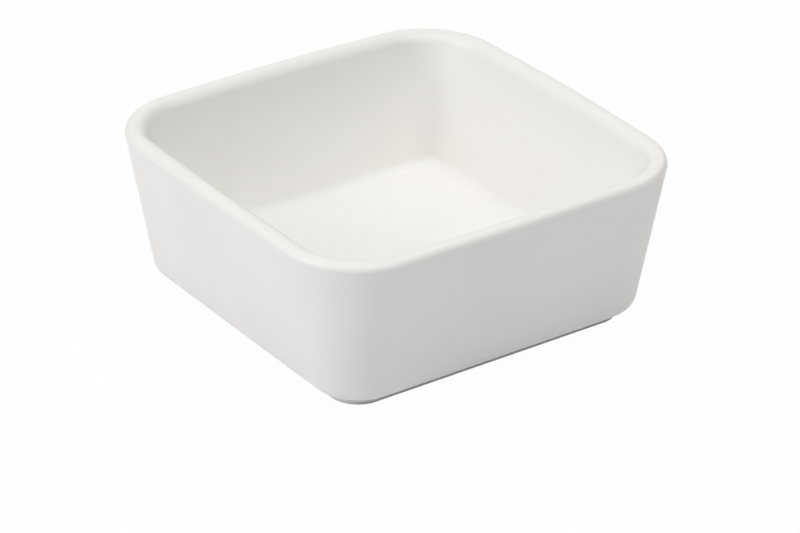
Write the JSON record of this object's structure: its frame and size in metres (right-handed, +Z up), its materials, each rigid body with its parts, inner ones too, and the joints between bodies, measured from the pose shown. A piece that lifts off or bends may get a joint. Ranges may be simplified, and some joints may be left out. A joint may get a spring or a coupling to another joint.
{
  "type": "snack dish",
  "caption": "Square ceramic snack dish: an undivided bowl with leaning walls, rounded corners, a soft thick rim and a low foot ring left bare where it meets the table.",
  "frame": {"origin": "middle of the resting plane, under the centre of the dish", "axes": "+Z up through the mouth of the bowl, X and Y square to the sides"},
  "size_m": [0.1, 0.1, 0.04],
  "materials": {
    "clay": "fired, unglazed, fine matte grain",
    "glaze": "white glaze, soft satin gloss"
  },
  "bodies": {
    "root": {"clay_body": "clay", "glaze_coat": "glaze"}
  },
  "joints": []
}
